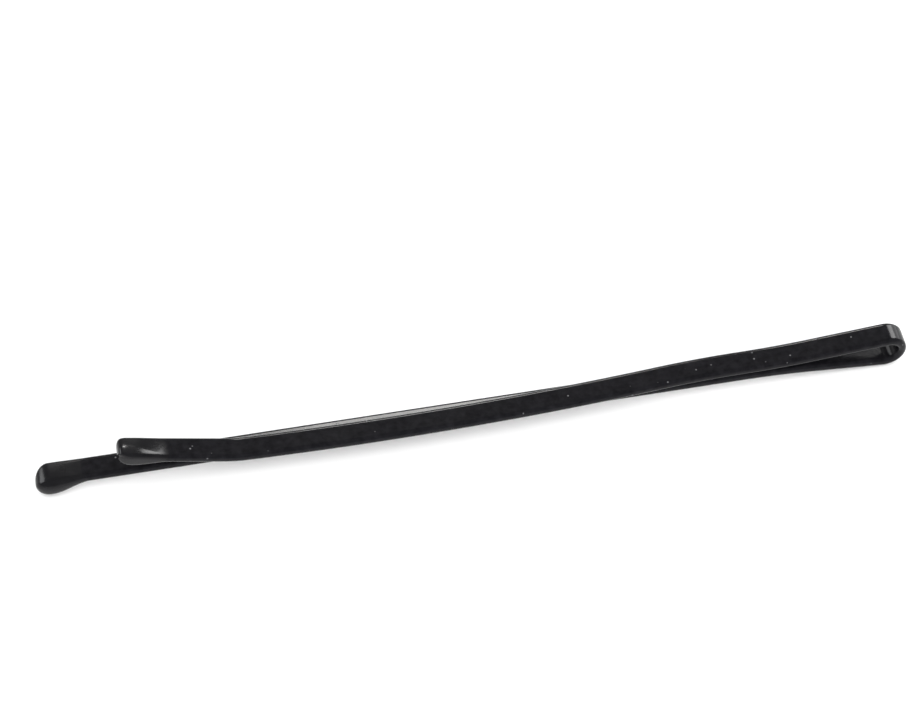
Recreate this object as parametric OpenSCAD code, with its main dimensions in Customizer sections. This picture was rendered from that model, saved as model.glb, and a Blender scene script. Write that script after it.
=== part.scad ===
// Bobby pin. One strip of flattened spring wire is folded at the bow into a long leg, which lies
// below, and a short leg, which lies above it and turns up at its toe. A drop of resin ends each
// leg. X runs along the pin with the bow at +X, Y is the strip's width, and Z is 0 at the surface
// that the pin lies on. Lengths are in millimetres and angles in degrees.

/* [Strip] */
// Overall length, from the long leg's tip to the outside of the bow
overall_len = 50; // [44:1:60]
// Width of the strip, enamel included
strip_w = 1.45; // [1.3:0.05:1.6]
// Thickness of the strip, enamel included
strip_t = 0.55; // [0.45:0.05:0.65]

/* [Bow] */
// Height over the outside of the bow
bow_h = 2.4; // [2.1:0.1:3]
// Slope of each leg where it leaves the bow
spread = 5.6; // [4.6:0.2:7]
// Radius at which each leg levels out behind the bow, to the middle of the strip
throat_r = 42; // [25:1:55]
// Clear space between the two legs
leg_gap = 0.05; // [0.03:0.01:0.2]

/* [Short leg] */
// How much shorter the short leg is, measured along the strip
short_by = 4.4; // [2:0.2:6]
// Length of the first sideways curve of the short leg
sway_lead = 5; // [3:0.5:7]
// Angle to which that curve turns the short leg, towards -Y
sway_turn = 4.2; // [3:0.1:5]
// Radius of the long curve that brings the short leg back over the long one
sway_r = 220; // [180:10:260]
// Length of the turned-up toe
toe_len = 6.4; // [4:0.2:8]
// Angle at which the toe rises
toe_turn = 12.5; // [8:0.5:18]
// Radius of the bend at the toe, to the middle of the strip
toe_r = 6; // [4:0.5:10]

/* [Tips] */
// How far the ball of a tip stands out past the strip's edges
ball_proud = 0.125; // [0.1:0.005:0.25]
// Length of a tip, from the ball's far side to the rim of its neck
tip_len = 3.2; // [2.6:0.1:4]
// Thickness of the resin over the strip at the rim of the neck
rim_film = 0.05; // [0.03:0.01:0.08]

/* [Hidden] */
$fn = 32;
// The shallow bends are drawn in finer steps
bend_fn = 1440;

ENAMEL = [0.11, 0.11, 0.12];
RESIN = [0.05, 0.05, 0.055];

// The bow's bend, to the middle of the strip
bow_r = (bow_h - strip_t) / 2;
// Height of a level leg's middle above or below the pin's middle plane
leg_z = (strip_t + leg_gap) / 2;
// Straight sloping length between the bow's bend and the throat's bend
taper_len = (bow_r * cos(spread) - leg_z - throat_r * (1 - cos(spread))) / sin(spread);

// Neighbouring stretches of strip lap by this length, and differ by this depth on every side, so
// that no two of their faces lie in one another
lap = 0.05;
seam_depth = 0.002;
function lap_angle(r) = lap * 180 / (PI * r);

// Resin tip: the ball, and the neck that runs back from it along the strip
ball_r = strip_w / 2 + ball_proud;
neck_len = tip_len - ball_r;
neck_r = strip_w / 2 + rim_film;
rim_z = strip_t / 2 + rim_film;
// The hollow curve of the neck meets the ball at this distance from the ball's middle
neck_start = 0.6 * ball_r;
neck_rise = sqrt(ball_r * ball_r - neck_start * neck_start) - rim_z;
neck_curve_r = (pow(neck_len - neck_start, 2) + neck_rise * neck_rise) / (2 * neck_rise);

// Level length of the long leg, from the throat to the strip's end at the ball's middle
bow_x = overall_len / 2 - bow_h / 2;
throat_x = bow_x - bow_r * sin(spread) - taper_len * cos(spread) - throat_r * sin(spread);
leg_len = throat_x + overall_len / 2 - ball_r;

// The short leg's sideways curves, and the straight end of its toe
lead_r = sway_lead * 180 / (PI * sway_turn);
sway_len = leg_len - short_by - sway_lead - toe_len;
sway_back = sway_len * 180 / (PI * sway_r);
toe_run = toe_len - toe_r * toe_turn * PI / 180;

// The sideways reach of the short leg sets the middle of the pin's width
sway_reach = (lead_r + sway_r) * (1 - cos(sway_turn));
pin_y = (sway_reach + strip_w / 2 - ball_r) / 2;
// The bow or the ball, whichever hangs lower, touches the surface
bow_z = max(bow_h / 2, leg_z + ball_r);

// The strip's section: flattened wire with fully rounded edges. Its thickness lies along X here.
module section(inset = 0) {
  square([strip_t - 2 * inset, strip_w - strip_t], center = true);
  for (side = [-1, 1])
    translate([0, side * (strip_w - strip_t) / 2]) circle(d = strip_t - 2 * inset, $fn = 32);
}

// A stretch of strip starts at the local origin and heads for -X. It runs straight, or rises
// towards +Z round a bend, or swings towards -Y round one; a negative angle goes the other way.
// The lap reaches back into the stretch before it, whose section has another inset.
module run(len, inset = 0, back = lap) {
  translate([back, 0, 0]) rotate([0, -90, 0]) linear_extrude(len + back) section(inset);
}

module rise(r, angle, inset = 0) {
  mirror([0, 0, angle < 0 ? 1 : 0])
    translate([0, 0, r]) rotate([90, 0, 0])
      rotate_extrude(angle = abs(angle) + lap_angle(r), start = -90 - abs(angle), $fn = bend_fn)
        translate([r, 0]) section(inset);
}

module swing(r, angle, inset = 0) {
  mirror([0, angle < 0 ? 1 : 0, 0])
    translate([0, -r, 0])
      rotate_extrude(angle = abs(angle) + lap_angle(r), start = 90 - lap_angle(r), $fn = bend_fn)
        translate([r, 0]) rotate(90) section(inset);
}

// What follows such a stretch starts where it ends
module after_run(len) {
  translate([-len, 0, 0]) children();
}

module after_rise(r, angle) {
  translate([-r * sin(abs(angle)), 0, sign(angle) * r * (1 - cos(angle))])
    rotate([0, angle, 0]) children();
}

module after_swing(r, angle) {
  translate([-r * sin(abs(angle)), -sign(angle) * r * (1 - cos(angle)), 0])
    rotate([0, 0, angle]) children();
}

// The middle of the bow's bend
module at_bow() {
  translate([bow_x, pin_y, bow_z]) children();
}

// The end of the bow's bend, below for side -1 and above for side 1
module at_bow_end(side) {
  at_bow()
    translate([-bow_r * sin(spread), 0, side * bow_r * cos(spread)])
      rotate([0, -side * spread, 0]) children();
}

// The throat, where a leg has levelled out
module at_throat(side) {
  at_bow_end(side) after_run(taper_len) after_rise(throat_r, side * spread) children();
}

module at_sway() {
  at_throat(1) after_swing(lead_r, sway_turn) children();
}

module at_toe() {
  at_sway() after_swing(sway_r, -sway_back) children();
}

module at_long_end() {
  at_throat(-1) after_run(leg_len) children();
}

module at_short_end() {
  at_toe() after_rise(toe_r, toe_turn) after_run(toe_run) children();
}

// The slope from the bow down to the throat, the same on both legs
module shoulder(side) {
  at_bow_end(side) {
    run(taper_len, back = 0);
    after_run(taper_len) rise(throat_r, side * spread, seam_depth);
  }
}

module long_leg() {
  color(ENAMEL) {
    shoulder(-1);
    at_throat(-1) run(leg_len);
  }
}

module bow() {
  color(ENAMEL)
    at_bow() rotate([90, 0, 0])
      rotate_extrude(angle = 180 + 2 * spread, start = -90 - spread, $fn = 128)
        translate([bow_r, 0]) section();
}

module short_leg() {
  color(ENAMEL) {
    shoulder(1);
    at_throat(1) swing(lead_r, sway_turn);
    at_sway() swing(sway_r, -sway_back, seam_depth);
    at_toe() {
      rise(toe_r, toe_turn, 2 * seam_depth);
      after_rise(toe_r, toe_turn) run(toe_run);
    }
  }
}

// A resin drop: a ball round the strip's end, and a neck that thins down onto both broad faces
module tip() {
  difference() {
    union() {
      rotate([0, 90, 0]) sphere(r = ball_r);
      difference() {
        rotate([0, 90, 0]) cylinder(r = neck_r, h = neck_len);
        for (side = [-1, 1])
          translate([neck_len, 0, side * (rim_z + neck_curve_r)])
            rotate([90, 0, 0]) cylinder(r = neck_curve_r, h = 2 * strip_w, center = true);
      }
    }
    after_run(-neck_len - ball_r) run(neck_len + ball_r);
  }
}

module long_leg_tip() {
  color(RESIN) at_long_end() tip();
}

module short_leg_tip() {
  color(RESIN) at_short_end() tip();
}

long_leg();
bow();
short_leg();
long_leg_tip();
short_leg_tip();
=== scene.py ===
"""The look of the bobby pin: one flattened wire folded at the bow, and a drop of resin on each end.

The strip is drawn in two halves that meet in the middle of the bow, each swept along the path that
the source gives it. Lengths are in metres. Angles are in degrees in names in capitals and in the
panels, and in radians elsewhere."""

import math

import bpy
import numpy as np
from mathutils import Matrix, Vector


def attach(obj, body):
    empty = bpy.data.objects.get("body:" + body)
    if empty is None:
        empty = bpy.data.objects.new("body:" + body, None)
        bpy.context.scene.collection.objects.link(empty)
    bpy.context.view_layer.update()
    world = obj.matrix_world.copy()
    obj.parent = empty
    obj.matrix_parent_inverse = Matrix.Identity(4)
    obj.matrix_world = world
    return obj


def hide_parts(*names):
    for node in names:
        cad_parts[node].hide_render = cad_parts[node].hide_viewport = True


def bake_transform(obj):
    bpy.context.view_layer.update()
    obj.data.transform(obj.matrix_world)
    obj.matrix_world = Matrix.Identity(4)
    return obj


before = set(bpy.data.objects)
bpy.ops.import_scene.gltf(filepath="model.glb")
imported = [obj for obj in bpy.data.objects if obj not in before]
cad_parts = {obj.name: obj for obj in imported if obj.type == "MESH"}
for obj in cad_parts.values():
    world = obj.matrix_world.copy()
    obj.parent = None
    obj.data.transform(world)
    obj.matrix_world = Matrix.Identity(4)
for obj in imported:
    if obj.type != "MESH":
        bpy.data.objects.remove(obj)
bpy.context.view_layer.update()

# ---------------------------------------------------------------- sizes
# The driving dimensions, as the source has them
OVERALL = 0.050
WIDE, THICK = 0.00145, 0.00055
BOW_H, SPREAD = 0.0024, 5.6
THROAT_R, LEG_GAP = 0.042, 0.00005
SHORT_BY = 0.0044
SWAY_LEAD, SWAY_TURN, SWAY_R = 0.005, 4.2, 0.220
TOE_LEN, TOE_TURN, TOE_R = 0.0064, 12.5, 0.006
BALL_PROUD, TIP_LEN = 0.000125, 0.0032

# What follows from them, worked out as the source does
rad, cos, sin = math.radians, math.cos, math.sin
ball_r = WIDE / 2 + BALL_PROUD
neck_len = TIP_LEN - ball_r
spread = rad(SPREAD)
bow_r = (BOW_H - THICK) / 2
leg_z = (THICK + LEG_GAP) / 2
taper = (bow_r * cos(spread) - leg_z - THROAT_R * (1 - cos(spread))) / sin(spread)
bow_x = OVERALL / 2 - BOW_H / 2
throat_x = bow_x - bow_r * sin(spread) - taper * cos(spread) - THROAT_R * sin(spread)
leg_len = throat_x + OVERALL / 2 - ball_r
lead_r = SWAY_LEAD / rad(SWAY_TURN)
sway_len = leg_len - SHORT_BY - SWAY_LEAD - TOE_LEN
toe_run = TOE_LEN - TOE_R * rad(TOE_TURN)
sway_reach = (lead_r + SWAY_R) * (1 - cos(rad(SWAY_TURN)))
pin_y = (sway_reach + WIDE / 2 - ball_r) / 2
bow_z = BOW_H / 2

# The long leg of the photographed pin is rolled over a little in its middle. The roll grows over
# the first share of the leg's length and dies away over the second, which ends at the third.
TWIST = 7.0
TWIST_GROWS, TWIST_FADES, TWIST_ENDS = 0.25, 0.16, 0.92

# Rolled wire is never quite even. Its width wanders by about this share, in waves of about this
# length. At the bow's middle, where the two halves meet, it is even, and the waves set in over the
# third length.
WANDER, WANDER_WAVE, WANDER_GROWS = 0.006, 0.004, 0.003
# The waves are this many sines, whose sum seldom exceeds the second number
SINES, SINES_REACH = 5, 3.2

# How finely the strip is drawn: along the bow, the toe's bend, the other bends and slopes, and the
# long curve and the level leg; then across each broad face and round each edge
BOW_STEP, TOE_STEP, BEND_STEP, LEG_STEP = 0.00003, 0.0001, 0.0002, 0.00025
FLAT_POINTS, EDGE_POINTS = 14, 14

# How finely a drop is drawn: round its section, over its end, and along its neck
DROP_POINTS, END_RINGS, NECK_RINGS = 96, 26, 60
# Film of resin round the strip: its thickness at the ball, the share of the neck over which it
# thins out, and how far it ends under the enamel
FILM, FILM_SHARE, FILM_SINK = 0.00003, 0.95, 0.000005
# Bead of resin: how sharply it dwindles, how deep it sinks into the strip where it ends, and its
# unevenness
BEAD_FADE, BEAD_SINK, BEAD_RIPPLE = 1.2, 0.000008, 0.006
# How far a direction has to lean to a side of the bead to take in the whole of its flat half
FLAT_LEAN = 0.25
# Depth over which the skin changes from the film to the bead
SKIN_SOFT = 0.000012
# The end of a drop is a superellipse with this power on the near side, where 2 is a ball. FAR_LEAN
# is how sharply that changes into the far corner's power.
END_POWER, FAR_LEAN = 2.1, 0.7

# One unit of the meshes' UV coordinates is 10 mm
UV_PER_M = 100

# Where each half of the strip would turn at its hinge, near the bow. Nothing below uses it.
pivot_x = bow_x - (bow_r + THICK / 2) * sin(spread)


# ---------------------------------------------------------------- path
class Path:
    """Walks along the middle of the strip and keeps, at each step, the place p, the heading t, the
    direction s across the strip, the direction n out of its outer face, and the distance d."""

    def __init__(self, side):
        self.p = np.array([bow_x + bow_r, pin_y, bow_z])
        self.t = np.array([0.0, 0.0, float(side)])
        self.s = np.array([0.0, 1.0, 0.0])
        self.n = np.array([1.0, 0.0, 0.0])
        self.d = 0.0
        self.rows = [self.row()]

    def row(self):
        return np.concatenate([self.p, self.t, self.s, self.n, [self.d]])

    def run(self, length, step):
        """A straight stretch."""
        count = max(1, round(length / step))
        for _ in range(count):
            self.p = self.p + self.t * length / count
            self.d += length / count
            self.rows.append(self.row())

    def turn(self, r, angle, toward, step):
        """An arc of that radius whose centre lies in the direction given."""
        centre = self.p + toward * r
        axis = np.cross(self.t, toward)
        axis /= np.linalg.norm(axis)
        count = max(2, round(r * angle / step))
        m = np.array(Matrix.Rotation(angle / count, 3, Vector(axis)))
        for _ in range(count):
            self.p = centre + m @ (self.p - centre)
            self.t, self.s, self.n = m @ self.t, m @ self.s, m @ self.n
            self.d += r * angle / count
            self.rows.append(self.row())


def walk(side):
    """The path from the bow's middle to a leg's end: the short leg for side 1, the long for -1."""
    path = Path(side)
    path.turn(bow_r, math.pi / 2 + spread, -path.n, BOW_STEP)
    path.run(taper, BEND_STEP)
    path.turn(THROAT_R, spread, path.n, BEND_STEP)
    if side < 0:
        path.run(leg_len, LEG_STEP)
    else:
        path.turn(lead_r, rad(SWAY_TURN), np.array([0, -1.0, 0]), BEND_STEP)
        # the long curve swings back, so its centre lies to the other side of the strip
        path.turn(SWAY_R, sway_len / SWAY_R, path.s, LEG_STEP)
        path.turn(TOE_R, rad(TOE_TURN), path.n, TOE_STEP)
        path.run(toe_run, BEND_STEP)
    return np.array(path.rows)


def twist(rows):
    """Rolls the long leg over in its middle, with its inner near edge kept in place."""
    for row in rows:
        x = (row[0] - throat_x) / -leg_len
        if x <= 0:
            continue
        f = min(x / TWIST_GROWS, 1.0) * min(max(TWIST_ENDS - x, 0) / TWIST_FADES, 1.0)
        a = rad(TWIST) * f * f * (3 - 2 * f)
        m = np.array(Matrix.Rotation(-a, 3, "X"))
        row[6:9], row[9:12] = m @ row[6:9], m @ row[9:12]
        row[2] -= (WIDE - THICK) / 2 * sin(a)


# ---------------------------------------------------------------- meshes
def waves(x, seed, length):
    """Smooth noise along a line, from about -1 to 1."""
    g = np.random.default_rng(seed)
    out = np.zeros_like(x)
    for _ in range(SINES):
        # drawn in this order: how high the sine is, how fast it runs, and where it begins
        size, rate, phase = g.uniform(0.4, 1), g.uniform(0.6, 2.4), g.uniform(0, 6.28)
        out += size * np.sin(x / length * rate + phase)
    return out / SINES_REACH


def section():
    """Points and outward normals round the strip: two broad faces and two round edges. The first
    number is across the strip, the second out of its outer face."""
    a, r = (WIDE - THICK) / 2, THICK / 2
    points, normals = [], []
    for side in (1, -1):
        for i in range(FLAT_POINTS):
            points.append((side * (2 * a * i / FLAT_POINTS - a), side * r))
            normals.append((0, side))
        for i in range(EDGE_POINTS):
            q = side * math.pi / 2 - math.pi * i / EDGE_POINTS
            points.append((side * a + r * cos(q), r * sin(q)))
            normals.append((cos(q), sin(q)))
    return np.array(points), np.array(normals)


def tube(rings, around):
    """Faces between neighbouring rings of points."""
    faces = []
    for i in range(rings - 1):
        for j in range(around):
            a, b = i * around + j, i * around + (j + 1) % around
            faces.append((a, b, b + around, a + around))
    return faces


def last_ring(rings, around):
    """The face that closes a tube at its last ring."""
    return tuple((rings - 1) * around + j for j in range(around))


def flipped(faces):
    return [face[::-1] for face in faces]


def make(name, verts, faces, uv, mat, normals=None):
    """A smooth object, with UV coordinates and, if they are given, normals for each vertex."""
    mesh = bpy.data.meshes.new(name)
    mesh.from_pydata([tuple(v) for v in verts], [], faces)
    mesh.shade_smooth()
    layer = mesh.uv_layers.new(name="UVMap")
    loops = np.zeros(len(mesh.loops), np.int32)
    mesh.loops.foreach_get("vertex_index", loops)
    layer.data.foreach_set("uv", np.asarray(uv, np.float32)[loops].ravel())
    obj = bpy.data.objects.new(name, mesh)
    bpy.context.scene.collection.objects.link(obj)
    mesh.materials.append(mat)
    if normals is not None:
        mesh.normals_split_custom_set_from_vertices([tuple(n) for n in normals])
    return obj


def strip(name, side, mat, seed):
    """One half of the strip, and the last row of its path."""
    rows = walk(side)
    if side < 0:
        twist(rows)
    p, s, n, d = rows[:, 0:3], rows[:, 6:9], rows[:, 9:12], rows[:, 12]
    points, outward = section()
    around = len(points)
    width = 1 + WANDER * waves(d, seed, WANDER_WAVE) * np.clip(d / WANDER_GROWS, 0, 1)
    across = s[:, None] * (points[:, 0][None] * width[:, None])[..., None]
    verts = p[:, None] + across + n[:, None] * points[:, 1][None, :, None]
    # the formula's own normals, so that the two halves meet in the bow without a line
    normals = s[:, None] * outward[:, 0][None, :, None] + n[:, None] * outward[:, 1][None, :, None]
    faces = tube(len(rows), around) + [last_ring(len(rows), around)]
    if side < 0:
        faces = flipped(faces)
    uv = np.stack([np.repeat(d, around), np.tile(points[:, 0], len(rows))], 1) * UV_PER_M
    obj = make(name, verts.reshape(-1, 3), faces, uv, mat, normals.reshape(-1, 3))
    return obj, rows[-1]


def soft_step(x):
    """Rises smoothly from 0 to 1 about x = 0. The limits keep the exponential finite."""
    return 1 / (1 + np.exp(-np.clip(x, -40, 40)))


def drop(name, end, mat, near, below, above, box, square, seed):
    """Resin drop. Its section is the strip's own, in a thin film, with a bead that hangs at the
    near edge and below; a skin is drawn tight round both. The bead dwindles along the neck. Past
    the strip's end the section closes over a rounded end, whose far corner is sharper for a larger
    square. Near, below and above are how far the bead reaches from the middle of the strip, and
    box is the flat half of each side of the bead."""
    p, t, s, n = end[0:3], end[3:6], end[6:9], end[9:12]
    n = n if n[2] > 0 else -n
    around = (np.arange(DROP_POINTS) + 0.5) * 2 * math.pi / DROP_POINTS
    outward = np.stack([np.cos(around), np.sin(around)], 1)
    edge_middle = np.stack([np.sign(outward[:, 0]) * (WIDE - THICK) / 2, np.zeros(DROP_POINTS)], 1)
    phase = np.random.default_rng(seed).uniform(0, 6.28)
    # 1 towards the far upper corner, and 0 towards the near edge and below
    far_share = np.clip(0.5 + FAR_LEAN * (outward[:, 0] + outward[:, 1]), 0, 1) ** 2
    power = END_POWER + (square - END_POWER) * far_share
    strip_reach = np.array([WIDE / 2, THICK / 2, THICK / 2])
    bead_reach = np.array([near, below, above])

    def bead(swell):
        """The bead's middle, the flat half of its sides, and its radius. It starts as the strip's
        own near edge, and grows."""
        to_near, to_below, to_above = strip_reach + (bead_reach - strip_reach) * swell
        half = (to_below + to_above) / 2
        return np.array([half - to_near, to_above - half]), box * swell, half - box * swell

    def ring(swell, film):
        """The tight skin round the strip and the bead, by direction: the one that reaches further,
        with a soft change between the two."""
        coat = edge_middle + outward * (THICK / 2 + film)
        at, flats, radius = bead(swell)
        ripple = 1 + BEAD_RIPPLE * swell * np.sin(2 * around + phase)
        r = radius * ripple - BEAD_SINK * (1 - swell)
        bulge = at + np.clip(outward / FLAT_LEAN, -1, 1) * flats + outward * r[:, None]
        lead = (bulge * outward).sum(1) - (coat * outward).sum(1)
        share = soft_step(lead / SKIN_SOFT)[:, None]
        return coat * (1 - share) + bulge * share

    # each ring is how far it lies behind the strip's end, at every point, and its section
    rings = []
    widest, middle = ring(1.0, FILM), bead(1.0)[0]
    for i in range(1, END_RINGS):
        q = math.pi / 2 * i / END_RINGS
        shrink = (sin(q) ** (2 / power))[:, None]
        rings.append((-ball_r * cos(q) ** (2 / power), middle + (widest - middle) * shrink))
    for i in range(NECK_RINGS + 1):
        x = i / NECK_RINGS
        swell = (0.5 + 0.5 * cos(math.pi * x)) ** BEAD_FADE
        thinning = 0.5 + 0.5 * cos(math.pi * min(1, x / FILM_SHARE))
        film = FILM * thinning - FILM_SINK * x * x
        rings.append((np.full(DROP_POINTS, neck_len * x), ring(swell, film)))

    verts, uv = [], []
    for behind, skin in rings:
        for j in range(DROP_POINTS):
            verts.append(p - t * behind[j] + s * skin[j, 0] + n * skin[j, 1])
            uv.append((behind[j] * UV_PER_M, j / DROP_POINTS))
    tip = len(verts)
    verts.append(p + t * ball_r + s * middle[0] + n * middle[1])
    uv.append((-ball_r * UV_PER_M, 0.5))
    faces = tube(len(rings), DROP_POINTS)
    faces += [(tip, (j + 1) % DROP_POINTS, j) for j in range(DROP_POINTS)]
    faces.append(last_ring(len(rings), DROP_POINTS))
    # if a face on the rounded end looks in, all do
    a, b, c = (verts[i] for i in faces[DROP_POINTS * 10][:3])
    if np.dot(np.cross(b - a, c - a), a - p) < 0:
        faces = flipped(faces)
    return make(name, verts, faces, uv, mat)


# ---------------------------------------------------------------- materials
def material(name):
    """A new material, its node tree and its shader."""
    mat = bpy.data.materials.new(name)
    mat.use_nodes = True
    return mat, mat.node_tree, mat.node_tree.nodes["Principled BSDF"]


def node(nt, kind, **values):
    """A new node. Each value goes to the input of that name, or else to the setting."""
    made = nt.nodes.new(kind)
    for key, value in values.items():
        if key in made.inputs:
            made.inputs[key].default_value = value
        else:
            setattr(made, key, value)
    return made


def noise(nt, pos, scale, detail):
    """Noise with about that many lumps to the metre."""
    made = node(nt, "ShaderNodeTexNoise", Scale=scale, Detail=detail)
    nt.links.new(pos, made.inputs["Vector"])
    return made.outputs["Fac"]


def ramp(nt, source, stops):
    """A colour ramp, whose stops are each a place and either a grey or a colour."""
    made = nt.nodes.new("ShaderNodeValToRGB")
    nt.links.new(source, made.inputs[0])
    elements = made.color_ramp.elements
    while len(elements) > 1:
        elements.remove(elements[-1])
    for i, (at, value) in enumerate(stops):
        element = elements[0] if i == 0 else elements.new(at)
        element.position = at
        colour = value if isinstance(value, tuple) else (value, value, value)
        element.color = (*colour, 1)
    return made.outputs[0]


def relief(nt, height, bsdf, strength, distance):
    """Bumps of that height in the surface, up to about the distance given."""
    bump = node(nt, "ShaderNodeBump", Strength=strength, Distance=distance)
    nt.links.new(height, bump.inputs["Height"])
    nt.links.new(bump.outputs["Normal"], bsdf.inputs["Normal"])


def enamel():
    mat, nt, bsdf = material("enamel")
    link = nt.links.new
    pos = nt.nodes.new("ShaderNodeTexCoord").outputs["Object"]

    # colour: near black, with pale dust and chips of a few hundredths of a millimetre
    dust = node(nt, "ShaderNodeTexVoronoi", feature="F1", Scale=2200.0, Randomness=1.0)
    link(pos, dust.inputs["Vector"])
    near = ramp(nt, dust.outputs["Distance"], [(0.0, 1.0), (0.07, 0.7), (0.15, 0.0)])
    patches = noise(nt, pos, scale=900.0, detail=1.0)
    rare = ramp(nt, patches, [(0.0, 0.0), (0.54, 0.0), (0.58, 1.0)])
    specks = node(nt, "ShaderNodeMath", operation="MULTIPLY")
    link(near, specks.inputs[0])
    link(rare, specks.inputs[1])
    blacks = [(0.3, (0.0042, 0.0041, 0.0050)), (0.7, (0.0092, 0.0090, 0.0106))]
    base = ramp(nt, noise(nt, pos, scale=2600.0, detail=3.0), blacks)
    mix = node(nt, "ShaderNodeMix", data_type="RGBA")
    link(specks.outputs[0], mix.inputs["Factor"])
    link(base, mix.inputs["A"])
    mix.inputs["B"].default_value = (0.15, 0.15, 0.155, 1)
    link(mix.outputs["Result"], bsdf.inputs["Base Color"])

    # gloss: an even coat with patches that are slightly duller
    rough = ramp(nt, noise(nt, pos, scale=700.0, detail=3.0), [(0.3, 0.15), (0.7, 0.19)])
    link(rough, bsdf.inputs["Roughness"])
    bsdf.inputs["IOR"].default_value = 1.5
    bsdf.inputs["Specular IOR Level"].default_value = 0.11

    # relief: fine orange peel, and the dust under the coat
    lumps = node(nt, "ShaderNodeMath", operation="MULTIPLY_ADD")
    link(specks.outputs[0], lumps.inputs[0])
    lumps.inputs[1].default_value = 1.5
    link(noise(nt, pos, scale=5200.0, detail=2.0), lumps.inputs[2])
    relief(nt, lumps.outputs[0], bsdf, strength=0.22, distance=0.000012)
    return mat


def resin():
    mat, nt, bsdf = material("resin")
    link = nt.links.new
    pos = nt.nodes.new("ShaderNodeTexCoord").outputs["Object"]
    blacks = [(0.3, (0.0050, 0.0049, 0.0056)), (0.7, (0.0072, 0.0070, 0.0080))]
    base = ramp(nt, noise(nt, pos, scale=1400.0, detail=2.0), blacks)
    link(base, bsdf.inputs["Base Color"])
    rough = ramp(nt, noise(nt, pos, scale=900.0, detail=2.0), [(0.3, 0.17), (0.7, 0.22)])
    link(rough, bsdf.inputs["Roughness"])
    bsdf.inputs["IOR"].default_value = 1.52
    bsdf.inputs["Specular IOR Level"].default_value = 0.17
    lumps = noise(nt, pos, scale=1500.0, detail=1.0)
    relief(nt, lumps, bsdf, strength=0.06, distance=0.00003)
    return mat


def table():
    mat, _, bsdf = material("table")
    bsdf.inputs["Base Color"].default_value = (0.90, 0.90, 0.90, 1)
    bsdf.inputs["Roughness"].default_value = 0.65
    bsdf.inputs["Specular IOR Level"].default_value = 0.2
    return mat


ENAMEL, RESIN = enamel(), resin()
# the solids, which the pieces below replace, carry the same materials
for name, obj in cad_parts.items():
    obj.data.materials.clear()
    obj.data.materials.append(RESIN if name.endswith("_tip") else ENAMEL)

# ---------------------------------------------------------------- pieces
long_strip, long_end = strip("strip_long_half", -1, ENAMEL, seed=3)
short_strip, short_end = strip("strip_short_half", 1, ENAMEL, seed=8)
long_drop = drop(
    "drop_long", long_end, RESIN,
    near=0.00095, below=0.00087, above=0.00033, box=0.00008, square=2.1, seed=5,
)
short_drop = drop(
    "drop_short", short_end, RESIN,
    near=0.00080, below=0.00050, above=0.00048, box=0.00020, square=4.5, seed=6,
)

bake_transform(long_strip)
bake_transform(short_strip)
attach(long_drop, "long_leg")
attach(short_drop, "short_leg")
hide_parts("long_leg", "bow")
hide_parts("short_leg")
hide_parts("long_leg_tip")
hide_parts("short_leg_tip")

# ---------------------------------------------------------------- studio
# A plain square table, a hair below the pin, so that the two share no plane
FLOOR_HALF, FLOOR_Z = 1.2, -0.00001
corners = [(-FLOOR_HALF, -FLOOR_HALF, 0), (FLOOR_HALF, -FLOOR_HALF, 0)]
corners += [(FLOOR_HALF, FLOOR_HALF, 0), (-FLOOR_HALF, FLOOR_HALF, 0)]
floor = bpy.data.objects.new("floor", bpy.data.meshes.new("floor"))
floor.data.from_pydata(corners, [], [(0, 1, 2, 3)])
floor.data.materials.append(table())
floor.location = (0, 0, FLOOR_Z)
bpy.context.scene.collection.objects.link(floor)


def add_room():
    """A pale room whose upper walls and ceiling are dim, so that black things stay black in it."""
    world = bpy.data.worlds.new("room")
    bpy.context.scene.world = world
    world.use_nodes = True
    nt = world.node_tree
    split = nt.nodes.new("ShaderNodeSeparateXYZ")
    nt.links.new(nt.nodes.new("ShaderNodeTexCoord").outputs["Generated"], split.inputs[0])
    by_height = [(0.0, 1.0), (0.14, 1.0), (0.22, 0.8), (0.36, 0.24), (1.0, 0.28)]
    walls = nt.nodes["Background"]
    nt.links.new(ramp(nt, split.outputs["Z"], by_height), walls.inputs["Color"])
    walls.inputs["Strength"].default_value = 1.0


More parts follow.
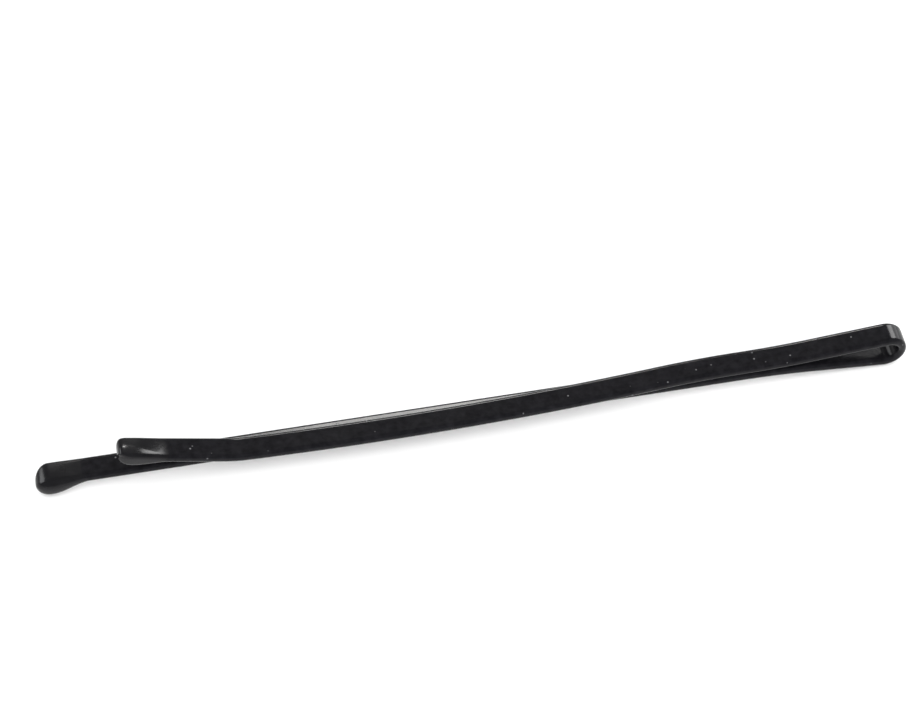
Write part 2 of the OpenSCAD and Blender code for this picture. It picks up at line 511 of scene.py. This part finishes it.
def panel(name, azimuth, elevation, across, tall, radiance, color=(1, 1, 1), far=0.6,
          shape="RECTANGLE"):
    """A flat lamp that faces the pin and spans those degrees across and in height, as seen from it.
    Azimuth 0 is +Y and 90 is +X."""
    lamp = bpy.data.lights.new(name, "AREA")
    lamp.shape = shape
    lamp.size = 2 * far * math.tan(rad(across / 2))
    lamp.size_y = 2 * far * math.tan(rad(tall / 2))
    lamp.energy = radiance * math.pi * lamp.size * lamp.size_y
    lamp.color = color
    obj = bpy.data.objects.new(name, lamp)
    bpy.context.scene.collection.objects.link(obj)
    a, e = rad(azimuth), rad(elevation)
    obj.location = Vector((sin(a) * cos(e), cos(a) * cos(e), sin(e))) * far
    obj.rotation_mode = "QUATERNION"
    obj.rotation_quaternion = (-obj.location).to_track_quat("-Z", "Y")
    return obj


add_room()
# narrow cards that black gloss mirrors, and that light nothing else
for card in (
    panel("back", 11, 40, across=9.5, tall=10, radiance=48, color=(1.0, 0.99, 0.97)),
    panel("right", 51.5, 34.5, across=14, tall=20, radiance=18),
    panel("right_low", 57, 13, across=24, tall=24, radiance=3.6),
    panel("left", -64, 37, across=44, tall=32, radiance=5.5, color=(0.97, 0.985, 1.0),
          shape="ELLIPSE"),
):
    card.visible_diffuse = False
# two large softboxes, in front and behind, light the table and leave no mirror image
for softbox in (
    panel("fill_front", 180, 46, across=84, tall=84, radiance=2.6, far=0.9),
    panel("fill_back", 0, 46, across=84, tall=84, radiance=1.4, far=0.9),
):
    softbox.visible_glossy = False

# ---------------------------------------------------------------- camera
# As fitted to the photographed pin: height above the table, turn about the vertical from -Y, roll,
# distance, what it looks at, and the focal length over the sensor's width
CAM_HEIGHT, CAM_TURN, CAM_ROLL = 54.0, -15.33235, 3.95341
CAM_DIST, CAM_TARGET = 0.1659, Vector((-0.00055, 0.00378, 0.0012))
CAM_LENS, SENSOR = 3.2, 36.0


def add_camera():
    height, turn, roll = rad(CAM_HEIGHT), rad(CAM_TURN), rad(CAM_ROLL)
    back = Vector((cos(height) * sin(turn), -cos(height) * cos(turn), sin(height)))
    right = Vector((cos(turn), sin(turn), 0))
    up = back.cross(right)
    rolled_right = right * cos(roll) + up * sin(roll)
    rolled_up = -right * sin(roll) + up * cos(roll)
    data = bpy.data.cameras.new("camera")
    data.sensor_width = SENSOR
    data.lens = SENSOR * CAM_LENS
    data.clip_start, data.clip_end = 0.001, 10
    camera = bpy.data.objects.new("camera", data)
    bpy.context.scene.collection.objects.link(camera)
    axes = Matrix((rolled_right, rolled_up, back)).transposed()
    camera.matrix_world = Matrix.Translation(CAM_TARGET + back * CAM_DIST) @ axes.to_4x4()
    bpy.context.scene.camera = camera


add_camera()

view = bpy.context.scene.view_settings
view.view_transform = "Standard"
view.look = "None"
